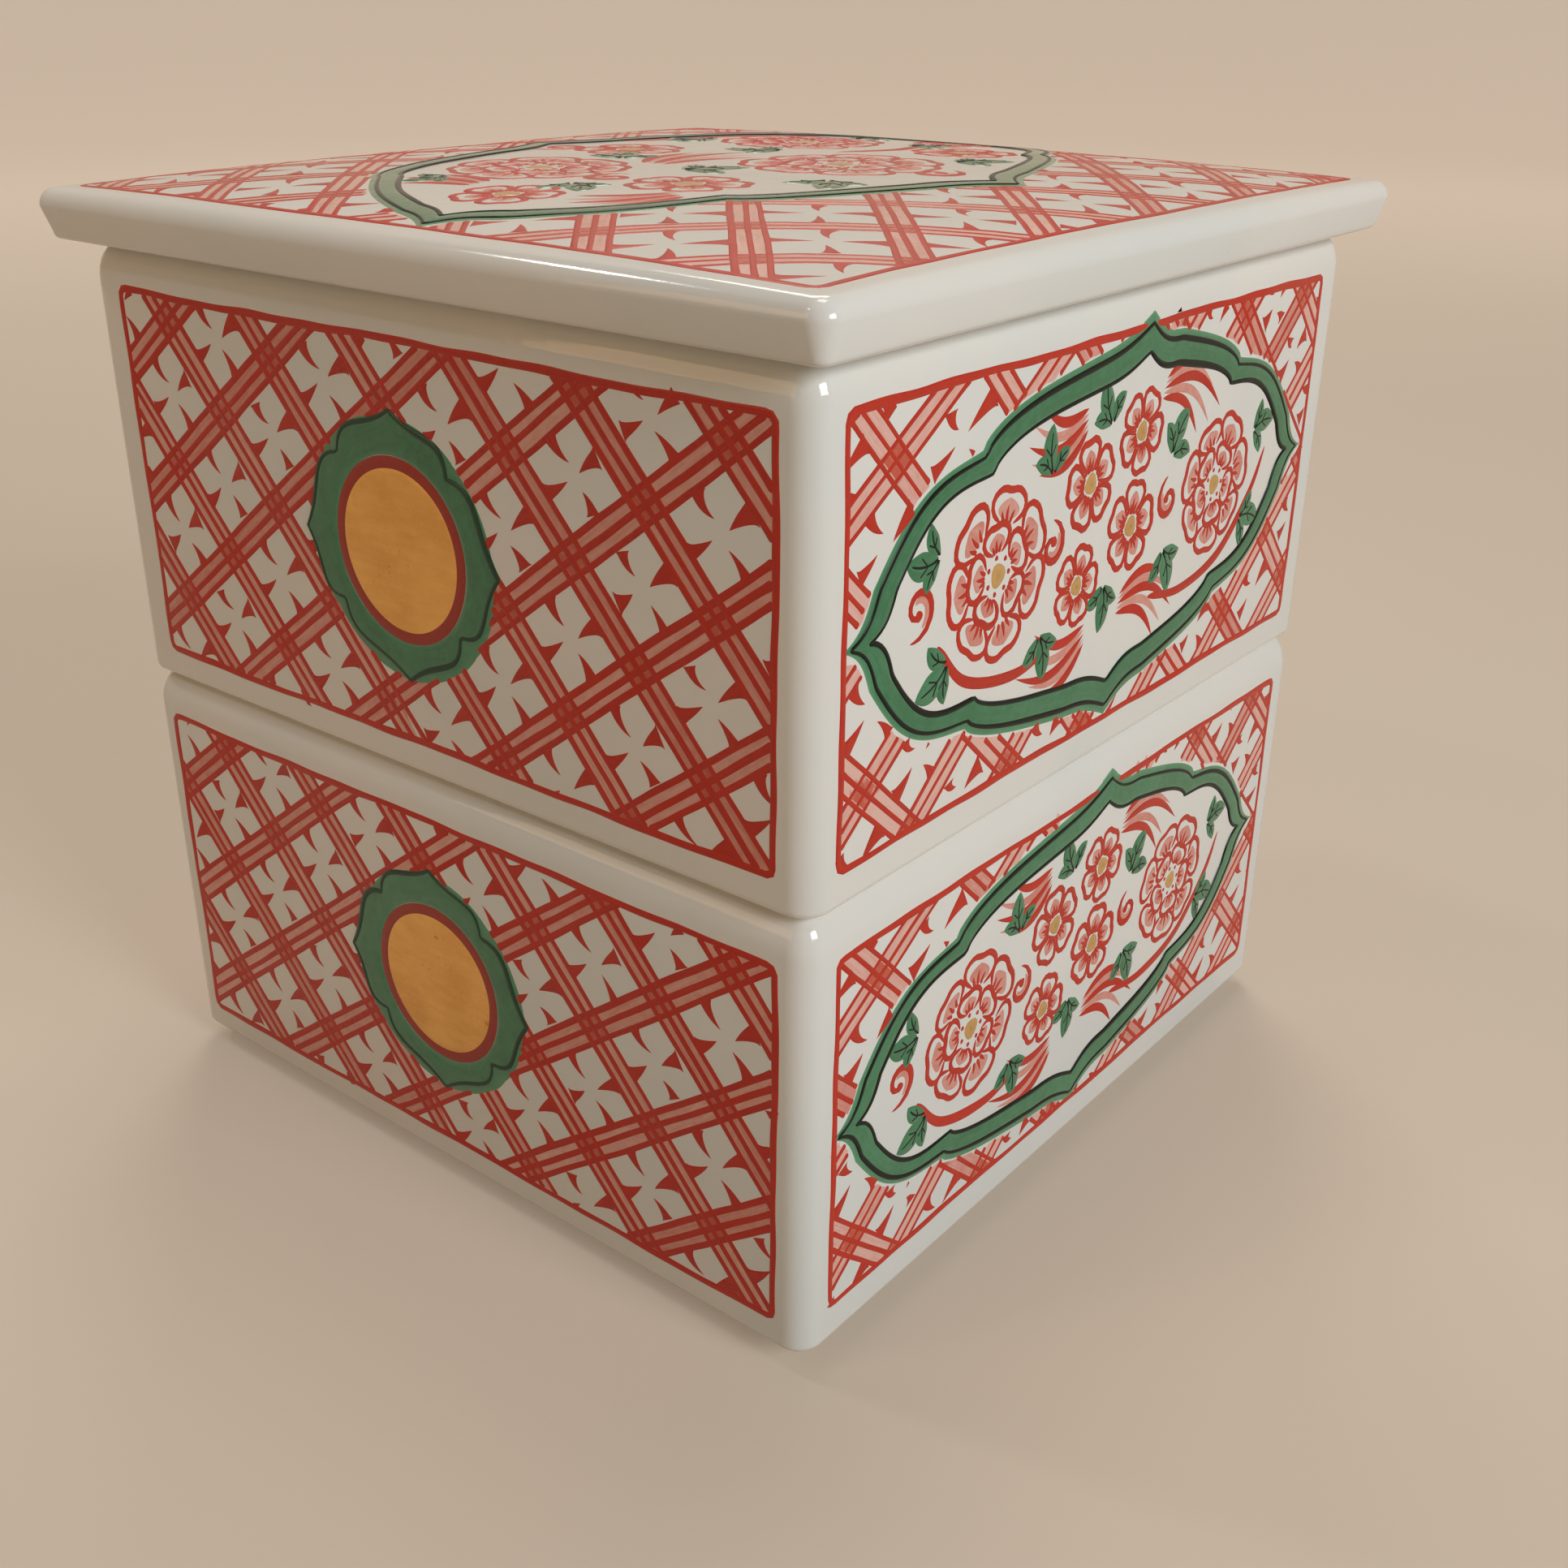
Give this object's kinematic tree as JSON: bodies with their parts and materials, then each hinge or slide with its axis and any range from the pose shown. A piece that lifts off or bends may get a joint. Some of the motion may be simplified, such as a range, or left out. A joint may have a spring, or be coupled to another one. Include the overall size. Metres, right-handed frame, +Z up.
{
  "type": "stacking food box",
  "caption": "Square stacking food box of glazed porcelain: open tiers that sit one on another by a foot ring, under an overhanging, gently swollen lid.",
  "frame": {"origin": "on the ground, at the middle of the lower box's foot ring", "axes": "+Z up; -Y and +Y are the faces with a round medallion, -X and +X the faces with a long lobed panel"},
  "size_m": [0.1122, 0.1122, 0.1137],
  "materials": {
    "porcelain": "clear gloss glaze on white porcelain",
    "red_enamel": "thin iron-red brush line, low gloss",
    "pink_wash": "thin streaky iron-red wash",
    "ochre_enamel": "small ochre dots and flower hearts",
    "green_enamel": "raised glassy green",
    "black_enamel": "black brush line under green",
    "gold": "rubbed fired gold, satin"
  },
  "bodies": {
    "lower_box": {"lower_box": "porcelain"},
    "upper_box": {"upper_box": "porcelain"},
    "lid": {"lid": "porcelain"}
  },
  "joints": [
    {"name": "upper_box_lift", "type": "slide", "parent": "lower_box", "child": "upper_box", "axis": [0, 0, 1], "range_m": [0, 0.08]},
    {"name": "lid_lift", "type": "slide", "parent": "upper_box", "child": "lid", "axis": [0, 0, 1], "range_m": [0, 0.07]}
  ]
}
